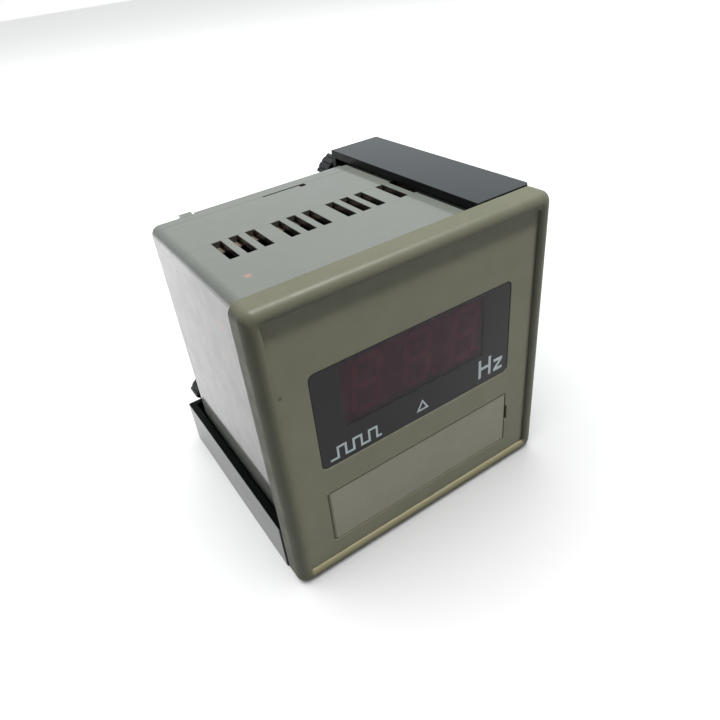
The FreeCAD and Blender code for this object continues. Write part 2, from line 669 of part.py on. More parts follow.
def make_main_board():
    node("main_board", box("main_board", "- main_board_half", "main_board_front",
                           "main_board_under", "2 * main_board_half",
                           "main_board_rear - main_board_front", "board_thickness"))
    stand("board_connector", "- connector_half", DISPLAY_BOARD_REAR, "2 * connector_half",
          "connector_rear - display_board_front - board_thickness", "connector_height")


def make_transformer():
    """An E and I core, drawn as one block with two windows, round a wound bobbin."""
    front = "core_middle - core_depth / 2"
    block = box("core_block", "core_x - core_width / 2", front, BOARD_TOP, "core_width",
                "core_depth", "core_height")
    windows = []
    window_low = BOARD_TOP + " + core_leg"
    window_high = "core_height - 2 * core_leg"
    for index, left in enumerate(("core_x - 2 * core_leg", "core_x + core_leg")):
        windows.append(box("core_window_%d" % index, left, front, window_low, "core_leg",
                           "core_depth", window_high))
    node("transformer_core", cut("core_cut", block, windows))
    winding = box("winding", "core_x - 2 * core_leg + bobbin_play",
                  front + " - bobbin_overhang", window_low + " + bobbin_play",
                  "4 * core_leg - 2 * bobbin_play", "core_depth + 2 * bobbin_overhang",
                  window_high + " - 2 * bobbin_play")
    leg = box("bobbin_leg", "core_x - core_leg - bobbin_play", front + " - bobbin_play",
              window_low, "2 * core_leg + 2 * bobbin_play", "core_depth + 2 * bobbin_play",
              window_high)
    node("transformer_bobbin", cut("bobbin_cut", winding, [leg]))


def make_board_parts():
    for name in BOARD_CANS:
        x, depth, radius, height = [name + "_" + word for word in CAN_WORDS]
        node(name, cylinder(name, x, depth, BOARD_TOP, radius, height, UPRIGHT))
    for name in BOARD_BLOCKS:
        stand(name, *[name + "_" + word for word in BLOCK_WORDS])
    back = box("sink_back", "sink_left", "sink_front", BOARD_TOP, "sink_width", "sink_metal",
               "sink_height")
    wings = []
    for index, left in enumerate(("sink_left", "sink_left + sink_width - sink_metal")):
        wings.append(box("sink_wing_%d" % index, left, "sink_front", BOARD_TOP, "sink_metal",
                         "sink_depth", "sink_height"))
    node("heatsink", fuse("heatsink_fuse", [back] + wings))
    node("driver_chip", box("driver_chip", "- driver_half", DISPLAY_BOARD_REAR, "driver_bottom",
                            "2 * driver_half", "driver_depth", "driver_height"))


def make_fuse():
    """A glass fuse along X in two sprung clips."""
    axis = BOARD_TOP + " + fuse_rise"
    node("fuse", cylinder("fuse", "fuse_left", "fuse_middle", axis, "fuse_radius", "fuse_length",
                          ALONG_X))
    clips = []
    for index in range(2):
        left = "clip_left + %d * clip_spacing" % index
        block = box("clip_block_%d" % index, left, "fuse_middle - clip_depth / 2", BOARD_TOP,
                    "clip_width", "clip_depth", "clip_height")
        bed = cylinder("clip_bed_%d" % index, left, "fuse_middle", axis, "fuse_radius",
                       "clip_width", ALONG_X)
        mouth = box("clip_mouth_%d" % index, left, "fuse_middle - clip_mouth / 2", axis,
                    "clip_width", "clip_mouth", "clip_height")
        clips.append(cut("clip_%d" % index, block, [bed, mouth]))
    node("fuse_clips", group("fuse_clip_group", clips))


# ---- Terminals -----------------------------------------------------------------------


def way(index):
    """The middle of one terminal way, across."""
    return "( %d - ( terminal_count - 1 ) / 2 ) * terminal_pitch" % index


def make_terminals():
    node("terminal_board", box("terminal_board", "- terminal_board_half", "terminal_board_front",
                               "- terminal_board_high", "2 * terminal_board_half",
                               "board_thickness", "2 * terminal_board_high"))
    start = "terminal_board_front + board_thickness"
    block = box("terminal_body", "- terminal_half", start, "- terminal_high", "2 * terminal_half",
                "terminal_rear - terminal_board_front - board_thickness", "2 * terminal_high")
    entries, wells, cages, screws = [], [], [], []
    entry_front = "terminal_rear - wire_entry_depth"
    well_front = "terminal_rear - terminal_well_depth"
    for index in range(int(number("terminal_count"))):
        x = way(index)
        tag = str(index + 1)
        left, low = x + " - wire_entry / 2", "wire_entry_height - wire_entry / 2"
        entries.append(box("entry_" + tag, left, entry_front, low, "wire_entry",
                           "wire_entry_depth", "wire_entry"))
        wells.append(cylinder("well_" + tag, x, well_front, "terminal_screw_height",
                              "terminal_well_radius", "terminal_well_depth"))
        outside = "wire_entry - 2 * cage_play"
        sleeve = box("cage_" + tag, left + " + cage_play", entry_front, low + " + cage_play",
                     outside, "cage_length", outside)
        inside = outside + " - 2 * cage_wall"
        hollow = box("cage_hollow_" + tag, left + " + cage_play + cage_wall", entry_front,
                     low + " + cage_play + cage_wall", inside, "cage_length", inside)
        cages.append(cut("cage_cut_" + tag, sleeve, [hollow]))
        head = cylinder("screw_head_" + tag, x, well_front, "terminal_screw_height",
                        "terminal_screw_radius", "terminal_head")
        slot = box("screw_slot_" + tag, x + " - terminal_screw_radius",
                   well_front + " + terminal_head - terminal_slot",
                   "terminal_screw_height - screw_slot / 2", "2 * terminal_screw_radius",
                   "terminal_slot", "screw_slot")
        screws.append(cut("screw_cut_" + tag, head, [slot]))
    node("terminal_block", cut("terminal_block_cut", block, entries + wells))
    node("terminal_clamps", group("terminal_clamp_group", cages))
    node("terminal_screws", group("terminal_screw_group", screws))


# ---- Assembly ------------------------------------------------------------------------


def check_document():
    """Stops unless every object was rebuilt and every piece is a sound shape."""
    for entry in document.Objects:
        if {"Invalid", "Error"} & set(entry.State):
            raise RuntimeError("%s is %s" % (entry.Name, entry.State))
    for name, piece in nodes.items():
        if piece.Shape.isNull() or not piece.Shape.isValid() or not piece.Shape.Solids:
            raise RuntimeError("%s has no sound shape" % name)


def write_parts():
    os.makedirs("parts", exist_ok=True)
    for name, piece in nodes.items():
        piece.Shape.exportStep("parts/%s.step" % name)
        print("%-24s %9.1f mm3" % (name, piece.Shape.Volume))


make_bezel()
make_front_panel()
make_display_filter()
make_access_door()
make_front_shell()
make_rear_shell()
make_rear_cover()
make_insulation_sheet()
make_clamp("upper_clamp", UPRIGHT)
make_clamp("lower_clamp", Rotation(Vector(0, 1, 0), 180))
for knob_prefix, knob_side in (("upper", 1), ("lower", -1)):
    make_wing_knob(knob_prefix + "_wing_knob", knob_side)
    make_screw(knob_side, knob_prefix)
make_display_board()
make_display_screws()
make_digits()
make_trimmer("left", -1)
make_trimmer("right", 1)
make_main_board()
make_transformer()
make_board_parts()
make_fuse()
make_terminals()
document.recompute()
check_document()
write_parts()
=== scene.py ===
import json
import math
import bmesh
import bpy
from mathutils import Matrix, Vector


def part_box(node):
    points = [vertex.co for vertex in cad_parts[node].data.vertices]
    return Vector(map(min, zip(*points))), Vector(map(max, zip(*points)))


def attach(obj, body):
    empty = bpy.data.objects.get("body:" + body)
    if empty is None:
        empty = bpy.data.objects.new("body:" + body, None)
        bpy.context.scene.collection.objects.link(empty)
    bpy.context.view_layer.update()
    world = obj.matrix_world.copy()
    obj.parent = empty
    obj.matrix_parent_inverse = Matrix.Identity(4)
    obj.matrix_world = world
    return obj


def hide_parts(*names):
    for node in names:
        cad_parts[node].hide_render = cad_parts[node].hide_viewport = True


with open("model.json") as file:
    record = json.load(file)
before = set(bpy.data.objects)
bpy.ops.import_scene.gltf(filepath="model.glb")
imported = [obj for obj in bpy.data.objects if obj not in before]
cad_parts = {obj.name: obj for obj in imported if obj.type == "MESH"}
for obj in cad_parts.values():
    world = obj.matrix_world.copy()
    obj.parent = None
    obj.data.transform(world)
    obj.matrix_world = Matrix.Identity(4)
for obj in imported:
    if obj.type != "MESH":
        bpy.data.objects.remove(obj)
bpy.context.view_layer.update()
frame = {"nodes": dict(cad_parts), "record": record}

# Places are given as on the real object: x to the right, depth behind the bezel's front
# face, height above its middle, in millimetres. at() turns them into the frame's metres.
MM = 0.001
BEZEL_LOW, BEZEL_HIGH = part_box("bezel")
FRONT = BEZEL_LOW.y
MIDDLE = (BEZEL_LOW.z + BEZEL_HIGH.z) / 2
ARC_STEPS = 6


def at(x, depth, height):
    return Vector((x * MM, FRONT + depth * MM, MIDDLE + height * MM))


def extent(node):
    """A CAD node's lowest and highest x, depth and height, in millimetres."""
    low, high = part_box(node)
    base = at(0, 0, 0)
    return [((low - base)[axis] / MM, (high - base)[axis] / MM) for axis in range(3)]


# ---- Node trees ------------------------------------------------------------------------


class Surface:
    """A material with its node tree, whose textures are laid out in the object's millimetres."""

    def __init__(self, name):
        self.material = bpy.data.materials.new(name)
        self.material.use_nodes = True
        self.tree = self.material.node_tree
        self.shader = self.tree.nodes["Principled BSDF"]
        place = self.node("ShaderNodeTexCoord").outputs["Object"]
        offset = self.node("ShaderNodeVectorMath", {0: place, 1: at(0, 0, 0)}, operation="SUBTRACT")
        scaled = self.node("ShaderNodeVectorMath", {0: offset.outputs[0], "Scale": 1 / MM},
                           operation="SCALE")
        self.place = scaled.outputs[0]
        axes = self.node("ShaderNodeSeparateXYZ", {0: self.place})
        self.x, self.depth, self.height = axes.outputs

    def node(self, kind, inputs=None, **settings):
        made = self.tree.nodes.new(kind)
        for key, value in settings.items():
            setattr(made, key, value)
        for key, value in (inputs or {}).items():
            self.feed(made.inputs[key], value)
        return made

    def feed(self, socket, value):
        if isinstance(value, bpy.types.NodeSocket):
            self.tree.links.new(value, socket)
        else:
            socket.default_value = value

    def set(self, **values):
        """Sets or links the shader's own sockets, with _ for a space."""
        for key, value in values.items():
            self.feed(self.shader.inputs[key.replace("_", " ")], value)

    def math(self, operation, first, second=0.0):
        return self.node("ShaderNodeMath", {0: first, 1: second}, operation=operation).outputs[0]

    def ramp(self, value, low, high, start=0.0, end=1.0):
        """A smooth step of value between low and high."""
        made = self.node("ShaderNodeMapRange", {"Value": value, "From Min": low, "From Max": high,
                                                "To Min": start, "To Max": end},
                         interpolation_type="SMOOTHSTEP")
        return made.outputs[0]

    def noise(self, size, detail=3.0, stretch=(1, 1, 1)):
        """Noise whose features are about size mm across."""
        place = self.place
        if tuple(stretch) != (1, 1, 1):
            place = self.node("ShaderNodeVectorMath", {0: place, 1: stretch},
                              operation="MULTIPLY").outputs[0]
        made = self.node("ShaderNodeTexNoise", {"Vector": place, "Scale": 1 / size,
                                                "Detail": detail, "Roughness": 0.55})
        return made.outputs["Fac"]

    def mix(self, share, first, second):
        """Two colours mixed."""
        made = self.node("ShaderNodeMix", data_type="RGBA")
        self.feed(made.inputs[0], share)
        for socket, colour in ((made.inputs[6], first), (made.inputs[7], second)):
            self.feed(socket, colour if isinstance(colour, bpy.types.NodeSocket) else (*colour, 1))
        return made.outputs[2]

    def most(self, *values):
        result = values[0]
        for value in values[1:]:
            result = self.math("MAXIMUM", result, value)
        return result

    def product(self, *values):
        result = values[0]
        for value in values[1:]:
            result = self.math("MULTIPLY", result, value)
        return result

    def spot(self, x, depth, height, radius):
        """1 at a place, falling to 0 a radius away."""
        away = self.node("ShaderNodeVectorMath", {0: self.place, 1: (x, depth, height)},
                         operation="DISTANCE").outputs["Value"]
        return self.ramp(away, 0.0, radius, 1.0, 0.0)

    def bump(self, height, depth_mm):
        """Uses a height from 0 to 1 as relief of a depth in millimetres."""
        made = self.node("ShaderNodeBump", {"Height": height, "Distance": depth_mm * MM,
                                            "Strength": 1.0})
        self.set(Normal=made.outputs[0])

    def away(self, value, middle):
        """How far a value is from the middle of its range."""
        return self.math("ABSOLUTE", self.math("SUBTRACT", value, middle))


def moulded(name, colour, shade, roughness, grain=0.35, grain_depth=0.012, mottle=14.0,
            wear=0.06, gloss=0.5):
    """A moulded plastic: cloudy colour, fine speckle, spark-eroded grain and uneven gloss."""
    surface = Surface(name)
    cloud = surface.ramp(surface.noise(mottle, 4.0), 0.35, 0.65)
    surface.colour = surface.mix(cloud, colour, shade)
    speckle = surface.ramp(surface.noise(0.5, 2.0), 0.3, 0.7)
    darker = [0.93 * part for part in colour]
    lighter = [min(1.0, 1.07 * part) for part in colour]
    surface.colour = surface.mix(0.35, surface.colour, surface.mix(speckle, darker, lighter))
    surface.rough = surface.ramp(surface.noise(6.0, 3.0), 0.3, 0.7, roughness - wear,
                                 roughness + wear)
    surface.set(IOR=1.5, Specular_IOR_Level=gloss)
    surface.bump(surface.noise(grain, 2.0), grain_depth)
    return surface


def close(surface):
    """Links the worked-out colour and roughness to the shader."""
    surface.set(Base_Color=surface.colour, Roughness=surface.rough)
    return surface.material


def lay_dirt_and_painted_light(surface, mask, colour, strength=1.0):
    """Lays a colour over the surface where the mask is, and dulls it: real dirt in some places, and
    painted light and shade in others.
    """
    share = surface.product(mask, strength)
    surface.colour = surface.mix(share, surface.colour, colour)
    surface.rough = surface.math("ADD", surface.rough, surface.product(share, 0.2))


# ---- Meshes ----------------------------------------------------------------------------


def add_piece(name, shape, body, surface, replaces=(), smooth=35.0, weighted=True):
    """Makes an object of a bmesh and says what it rides on and stands for."""
    mesh = bpy.data.meshes.new(name)
    shape.to_mesh(mesh)
    shape.free()
    mesh.polygons.foreach_set("use_smooth", [True] * len(mesh.polygons))
    mesh.set_sharp_from_angle(angle=math.radians(smooth))
    mesh.materials.clear()
    mesh.materials.append(surface)
    piece = bpy.data.objects.new(name, mesh)
    bpy.context.scene.collection.objects.link(piece)
    if weighted:
        normals = piece.modifiers.new("normals", "WEIGHTED_NORMAL")
        normals.keep_sharp = True
    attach(piece, body)
    if replaces:
        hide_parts(*replaces)
    return piece


def body_of(node):
    for body, members in frame["record"]["behaviour"]["bodies"].items():
        if node in members:
            return body
    raise KeyError(node)


def slot_of(node):
    for entry in frame["record"]["subparts"]:
        if entry["node"] == node:
            return entry["material_slot"]
    raise KeyError(node)


LEAST_ANGLE = 32.0  # degrees; an edge that turns less belongs to a curved surface
MERGE_MM, FLAT_ANGLE = 1e-3, 0.6


def softened(node, name, surface, width, segments=2, crisp=None):
    """A copy of a CAD node with rounded edges, as a moulding has, but for those crisp picks."""
    shape = bmesh.new()
    shape.from_mesh(frame["nodes"][node].data)
    shape.transform(Matrix.Scale(1 / MM, 4))
    bmesh.ops.remove_doubles(shape, verts=shape.verts, dist=MERGE_MM)
    bmesh.ops.dissolve_limit(shape, angle_limit=math.radians(FLAT_ANGLE),
                             verts=shape.verts, edges=shape.edges)
    edges = [edge for edge in shape.edges if edge.is_manifold
             and edge.calc_face_angle(0.0) > math.radians(LEAST_ANGLE)
             and not (crisp and crisp(edge))]
    bmesh.ops.bevel(shape, geom=edges, offset=width, offset_type="OFFSET", segments=segments,
                    profile=0.5, affect="EDGES", clamp_overlap=True)
    shape.transform(Matrix.Scale(MM, 4))
    return add_piece(name, shape, body_of(node), surface, [node])


def rounded(left, bottom, right, top, radius):
    """A rectangle's outline with round corners."""
    points = []
    corners = ((right - radius, top - radius, 0), (left + radius, top - radius, 90),
               (left + radius, bottom + radius, 180), (right - radius, bottom + radius, 270))
    for across, up, start in corners:
        for step in range(ARC_STEPS + 1):
            angle = math.radians(start + 90 * step / ARC_STEPS)
            points.append((across + radius * math.cos(angle), up + radius * math.sin(angle)))
    return points


def loft(shape, rings, closed=False, capped=False):
    """Skins a list of (depth, outline), each outline with the same number of points."""
    loops = []
    for depth, outline in rings:
        loops.append([shape.verts.new(at(x, depth, height)) for x, height in outline])
    pairs = list(zip(loops, loops[1:]))
    if closed:
        pairs.append((loops[-1], loops[0]))
    faces = []
    for first, second in pairs:
        for index in range(len(first)):
            after = (index + 1) % len(first)
            faces.append(shape.faces.new((first[index], first[after], second[after],
                                          second[index])))
    if capped:
        faces.append(shape.faces.new(loops[0]))
        faces.append(shape.faces.new(loops[-1]))
    bmesh.ops.recalc_face_normals(shape, faces=faces)
    return shape


def front_edge(outline, front, soft):
    """The rings of a rounded front edge. outline(inset) gives the outline drawn in by inset."""
    rings = []
    for step in range(ARC_STEPS + 1):
        angle = math.radians(90 * step / ARC_STEPS)
        rings.append((front + soft * (1 - math.sin(angle)), outline(soft * (1 - math.cos(angle)))))
    return rings


def slab(shape, outline, front, rear, soft):
    """A plate with a rounded front edge."""
    return loft(shape, [(rear, outline(0.0))] + front_edge(outline, front, soft), capped=True)


def prism(shape, outline, front, rear):
    """A flat shape of any outline with a thickness."""
    return loft(shape, [(rear, outline), (front, outline)], capped=True)


def ring_prism(shape, outer, inner, front, rear):
    """The band between two outlines of as many points, with a thickness."""
    return loft(shape, [(rear, outer), (front, outer), (front, inner), (rear, inner)], closed=True)


# ---- Front: bezel, panel, filter, digits, door ------------------------------------------

BEZEL_HALF = extent("bezel")[0][1]
BEZEL_DEPTH = extent("bezel")[1][1]
PANEL_HALF = extent("front_panel")[0][1]
# The opening that holds the panel, the ledge behind the panel, and the socket for the case.
OPENING_HALF, LEDGE_DEPTH = PANEL_HALF + 0.02, 4.3
LEDGE_HALF = OPENING_HALF - 2.0
SOCKET_PLAY = 0.1
SOCKET_HALF = extent("front_shell")[0][1] + SOCKET_PLAY
SOCKET_FRONT = extent("front_shell")[1][0] - SOCKET_PLAY
RIM_ROUND, BACK_ROUND, LIP_DEPTH = 2.8, 0.7, 0.95
BEZEL_CORNER, OPENING_CORNER, LEDGE_CORNER = 3.0, 1.0, 0.3


def arc(depth, half, radius, start, end, steps=ARC_STEPS):
    """Points (depth, half) on an arc, by angles from the outward direction towards the rear."""
    points = []
    for step in range(steps + 1):
        angle = math.radians(start + (end - start) * step / steps)
        points.append((depth + radius * math.sin(angle), half + radius * math.cos(angle)))
    return points


def build_bezel(surface):
    """The square frame: round outside, a quarter ellipse down to the panel, ledge and socket."""
    fine = 2 * ARC_STEPS
    outer = (arc(BEZEL_DEPTH - BACK_ROUND, BEZEL_HALF - BACK_ROUND, BACK_ROUND, 90, 0)
             + arc(RIM_ROUND, BEZEL_HALF - RIM_ROUND, RIM_ROUND, 0, -90, fine))
    reach = BEZEL_HALF - RIM_ROUND - OPENING_HALF
    lip = []
    for step in range(1, fine + 1):
        angle = math.radians(90 * step / fine)
        lip.append((LIP_DEPTH * (1 - math.cos(angle)),
                    OPENING_HALF + reach * (1 - math.sin(angle))))
    inner = [(LEDGE_DEPTH, OPENING_HALF), (LEDGE_DEPTH, LEDGE_HALF), (SOCKET_FRONT, LEDGE_HALF),
             (SOCKET_FRONT, SOCKET_HALF), (BEZEL_DEPTH, SOCKET_HALF)]
    widening = (BEZEL_CORNER - OPENING_CORNER) / (BEZEL_HALF - OPENING_HALF)
    rings = []
    for depth, half in outer + lip:
        radius = OPENING_CORNER + widening * (half - OPENING_HALF)
        rings.append((depth, rounded(-half, -half, half, half, radius)))
    for depth, half in inner:
        radius = OPENING_CORNER if half == OPENING_HALF else LEDGE_CORNER
        rings.append((depth, rounded(-half, -half, half, half, radius)))
    add_piece("bezel_frame", loft(bmesh.new(), rings, closed=True), "case",
              surface, ["bezel"])


FILTER_X, FILTER_DEPTH, FILTER_Z = extent("display_filter")
FILTER_CORNER, FILTER_EDGE = 1.85, 0.15
# The clear part: left, bottom, right and top.
ZONE = (-25.5, 2.9, 24.0, 24.0)
ZONE_CORNER = 0.5
PANE_OVERLAP, PANE_SET_BACK = 0.05, 0.01


def build_filter(mask_surface, pane_surface):
    """The filter: a dark printed border and the clear red part that the digits show through."""
    left, right = FILTER_X
    bottom, top = FILTER_Z
    front, rear = FILTER_DEPTH

    def outline(inset):
        return rounded(left + inset, bottom + inset, right - inset, top - inset,
                       FILTER_CORNER - inset)
    hole = rounded(*ZONE, ZONE_CORNER)
    rings = [(rear, hole), (rear, outline(0.0))]
    rings += front_edge(outline, front, FILTER_EDGE)
    rings.append((front, hole))
    border = loft(bmesh.new(), rings, closed=True)
    add_piece("filter_border", border, "case", mask_surface, ["display_filter"])
    pane = prism(bmesh.new(), rounded(ZONE[0] - PANE_OVERLAP, ZONE[1] - PANE_OVERLAP,
                                      ZONE[2] + PANE_OVERLAP, ZONE[3] + PANE_OVERLAP,
                                      ZONE_CORNER),
                 front + PANE_SET_BACK, rear)
    add_piece("filter_pane", pane, "case", pane_surface, ["display_filter"],
              weighted=False)


def shifted(points, x, height, slant=0.0, middle=0.0):
    """Moves an outline, leaning it to the right above a middle height."""
    return [(across + x + slant * (up - middle), up + height) for across, up in points]


DIGIT_X = {1: -16.6, 2: 0.5, 3: 17.8}
HOUSING_CORNER, HOUSING_EDGE = 0.4, 0.2
DIGIT_MARGIN, MARGIN_DEPTH, FILM_DEPTH = 1.6, 0.25, 0.1
CHAR_WIDTH, CHAR_HEIGHT, CHAR_BOTTOM = 10.2, 18.0, 3.7
SEGMENT_WIDTH, SEGMENT_GAP, SEGMENT_DEPTH, SEGMENT_SLANT = 2.0, 0.25, 0.12, 0.12
DOT_RADIUS, DOT_SPACE = 0.9, 0.6


def segment_outlines():
    """The seven bars of a digit, about the middle of its base."""
    half = CHAR_WIDTH / 2 - SEGMENT_WIDTH / 2
    reach, gap = SEGMENT_WIDTH / 2, SEGMENT_GAP
    bars = []
    for up in (reach, CHAR_HEIGHT / 2, CHAR_HEIGHT - reach):
        bars.append([(-half + gap, up), (-half + gap + reach, up + reach),
                     (half - gap - reach, up + reach), (half - gap, up),
                     (half - gap - reach, up - reach), (-half + gap + reach, up - reach)])
    for across in (-half, half):
        for low, high in ((reach, CHAR_HEIGHT / 2), (CHAR_HEIGHT / 2, CHAR_HEIGHT - reach)):
            bars.append([(across, low + gap), (across + reach, low + gap + reach),
                         (across + reach, high - gap - reach), (across, high - gap),
                         (across - reach, high - gap - reach), (across - reach, low + gap + reach)])
    return bars


def build_digits(housing_surface, segment_surface):
    """Each digit: a dark housing, and seven bars and a point that stand just proud of it."""
    for number, middle in DIGIT_X.items():
        node = "led_digit_%d" % number
        (left, right), (front, rear), (bottom, top) = extent(node)

        def outline(inset):
            return rounded(left + inset, bottom + inset, right - inset, top - inset,
                           HOUSING_CORNER)
        housing = slab(bmesh.new(), outline, front + MARGIN_DEPTH, rear, HOUSING_EDGE)
        add_piece("digit_housing_%d" % number, housing, "case", housing_surface,
                  [node])
        bars = bmesh.new()
        for bar in segment_outlines():
            prism(bars, shifted(bar, middle, CHAR_BOTTOM, SEGMENT_SLANT, CHAR_HEIGHT / 2),
                  front, front + SEGMENT_DEPTH)
        dot = [(DOT_RADIUS * math.cos(math.radians(turn)),
                DOT_RADIUS * math.sin(math.radians(turn))) for turn in range(0, 360, 30)]
        prism(bars, shifted(dot, middle + CHAR_WIDTH / 2 + DOT_SPACE, CHAR_BOTTOM + DOT_RADIUS),
              front, front + SEGMENT_DEPTH)
        add_piece("digit_bars_%d" % number, bars, "case", segment_surface,
                  [node], weighted=False)
    build_digit_mask(housing_surface)


def build_digit_mask(surface):
    """A film round the digits and over their joints, so that no gap shows past them."""
    left, right = extent("led_digit_1")[0][0], extent("led_digit_3")[0][1]
    bottom, top = extent("led_digit_1")[2]
    front = extent("led_digit_1")[1][0]
    film = prism(bmesh.new(), rounded(left - DIGIT_MARGIN, bottom - DIGIT_MARGIN,
                                      right + DIGIT_MARGIN, top + DIGIT_MARGIN,
                                      HOUSING_CORNER),
                 front + FILM_DEPTH, front + MARGIN_DEPTH)
    add_piece("digit_mask", film, "case", surface, weighted=False)


def build_mark(name, shape, surface):
    add_piece(name, shape, "case", surface, weighted=False)


MARK_FRONT, MARK_REAR = FILTER_DEPTH[0] - 0.03, FILTER_DEPTH[0] + 0.05
UNIT_BASE, UNIT_STROKE = -5.6, 1.0


def build_marks(surface):
    """The unit mark, a plain triangle and a row of pulses, printed on the filter's front."""
    marks = {}
    stroke = UNIT_STROKE
    tall, wide = 6.8, 5.0
    bar = stroke / 2
    marks["unit_mark_capital"] = (22.4, [
        (0, 0), (stroke, 0), (stroke, tall / 2 - bar), (wide - stroke, tall / 2 - bar),
        (wide - stroke, 0), (wide, 0), (wide, tall), (wide - stroke, tall),
        (wide - stroke, tall / 2 + bar), (stroke, tall / 2 + bar), (stroke, tall), (0, tall)])
    wide, tall, lean = 3.6, 4.5, 1.3
    marks["unit_mark_small"] = (28.6, [
        (0, 0), (wide, 0), (wide, stroke), (lean, stroke), (wide, tall - stroke), (wide, tall),
        (0, tall), (0, tall - stroke), (wide - lean, tall - stroke), (0, stroke)])
    for name, (x, outline) in marks.items():
        build_mark(name, prism(bmesh.new(), shifted(outline, x, UNIT_BASE), MARK_FRONT,
                               MARK_REAR), surface)
    outer = [(-2.3, -5.5), (2.3, -5.5), (0.0, -1.6)]
    inner = [(-1.3, -4.95), (1.3, -4.95), (0.0, -2.7)]
    build_mark("triangle_mark", ring_prism(bmesh.new(), shifted(outer, 0.5, 0),
                                           shifted(inner, 0.5, 0), MARK_FRONT, MARK_REAR),
               surface)
    build_pulses(surface)


def build_pulses(surface):
    """A square wave of three pulses, as one line of even width."""
    left, low, high, line, step = -31.6, -6.1, -2.4, 0.7, 2.6
    path = [(left, low)]
    for index in range(6):
        level = high if index % 2 == 0 else low
        corner = left + step * (index + 1)
        path += [(corner, path[-1][1]), (corner, level)]
    path.append((left + step * 6 + step * 0.6, path[-1][1]))
    outline = []
    for side in (1, -1):
        rail = []
        for index, (x, height) in enumerate(path):
            before = path[index - 1] if index else None
            after = path[index + 1] if index + 1 < len(path) else None
            across, up = 0.0, 0.0
            for first, second in ((before, (x, height)), ((x, height), after)):
                if first is None or second is None:
                    continue
                if abs(second[0] - first[0]) > abs(second[1] - first[1]):
                    up = side * line / 2
                else:
                    across = -side * line / 2 * (1 if second[1] > first[1] else -1)
            rail.append((x + across, height + up))
        outline += rail if side == 1 else rail[::-1]
    build_mark("pulse_mark", prism(bmesh.new(), outline, MARK_FRONT, MARK_REAR), surface)


# ---- Screws ----------------------------------------------------------------------------


PITCH, THREAD_DEPTH = 0.8, 0.45
THREAD_SIDES, ROWS_PER_TURN = 24, 6


def build_stud(node, name, surface):
    """A threaded stud: a round bar whose surface winds in a fine ridge."""
    (left, right), (front, rear), (bottom, top) = extent(node)
    centre_x, centre_z = (left + right) / 2, (bottom + top) / 2
    radius = (right - left) / 2
    rows = int((rear - front) / PITCH * ROWS_PER_TURN)
    rings = []
    for row in range(rows + 1):
        depth = front + (rear - front) * row / rows
        end = min(1.0, min(row, rows - row) / ROWS_PER_TURN)
        ring = []
        for index in range(THREAD_SIDES):
            share = index / THREAD_SIDES
            phase = (row / ROWS_PER_TURN - share) % 1.0
            ridge = 1 - abs(2 * phase - 1)
            reach = radius - THREAD_DEPTH * (1 - ridge * end)
            ring.append((centre_x + reach * math.cos(2 * math.pi * share),
                         centre_z + reach * math.sin(2 * math.pi * share)))
        rings.append((depth, ring))
    shape = loft(bmesh.new(), rings, capped=True)
    add_piece(name, shape, body_of(node), surface, [node], smooth=60.0,
              weighted=False)


# ---- Materials -------------------------------------------------------------------------


def edge_of_square(surface, half, width):
    """1 at the outline of a square about the middle, falling to 0 over a width inside it."""
    reach = surface.most(surface.math("ABSOLUTE", surface.x),
                         surface.math("ABSOLUTE", surface.height))
    return surface.ramp(reach, half - width, half)


def seam_of(surface, left, bottom, right, top, width):
    """1 on the outline of an upright rectangle, falling to 0 over a width on both sides."""
    across = surface.math("SUBTRACT", surface.math("ABSOLUTE", surface.math(
        "SUBTRACT", surface.x, (left + right) / 2)), (right - left) / 2)
    up = surface.math("SUBTRACT", surface.math("ABSOLUTE", surface.math(
        "SUBTRACT", surface.height, (bottom + top) / 2)), (top - bottom) / 2)
    away = surface.math("ABSOLUTE", surface.most(across, up))
    return surface.ramp(away, 0.0, width, 1.0, 0.0)


def bezel_material():
    """Satin moulded frame, yellowed and painted lighter on the lower lip where it faces up, and
    darker brown in blotches along the foot of that lip.
    """
    surface = moulded("bezel_plastic", (0.087, 0.089, 0.062), (0.095, 0.094, 0.067), 0.46,
                      gloss=0.13)
    blotch = surface.ramp(surface.noise(2.2, 4.0), 0.42, 0.7)
    # Partly yellowing, partly painted light: the lower lip, which faces up, is made yellower and
    # much lighter.
    lip = surface.product(surface.ramp(surface.height, -43.2, -43.6),
                          surface.ramp(surface.height, -46.0, -45.2),
                          surface.ramp(surface.away(surface.x, 0.0), 44.2, 43.4))
    lay_dirt_and_painted_light(surface, lip, (0.185, 0.165, 0.09), 0.5)
    # Darker brown in blotches along the foot of the lower lip, where it meets the panel.
    foot = surface.product(lip, blotch, surface.ramp(surface.depth, 0.75, 1.05))
    lay_dirt_and_painted_light(surface, foot, (0.10, 0.06, 0.03), 0.7)
    return close(surface)


def panel_material():
    """Matt plate, darker brown in blotches along its foot, with a brown line round the door."""
    surface = moulded("panel_plastic", (0.130, 0.132, 0.091), (0.140, 0.139, 0.098), 0.6,
                      grain=0.22, gloss=0.3)
    blotch = surface.ramp(surface.noise(1.8, 4.0), 0.4, 0.7)
    # Darker brown in blotches along the panel's bottom edge, where it meets the bezel's lip.
    darker_foot = surface.product(edge_of_square(surface, PANEL_HALF, 0.6), blotch,
                            surface.ramp(surface.height, -41.0, -43.4))
    lay_dirt_and_painted_light(surface, darker_foot, (0.13, 0.09, 0.04), 0.5)
    lay_dirt_and_painted_light(surface, seam_of(surface, *DOOR_EDGE, 0.35), (0.13, 0.055, 0.03), 0.7)
    lay_dirt_and_painted_light(surface, surface.spot(-42.4, 1.1, 22.0, 0.9), (0.06, 0.045, 0.03), 0.9)
    return close(surface)


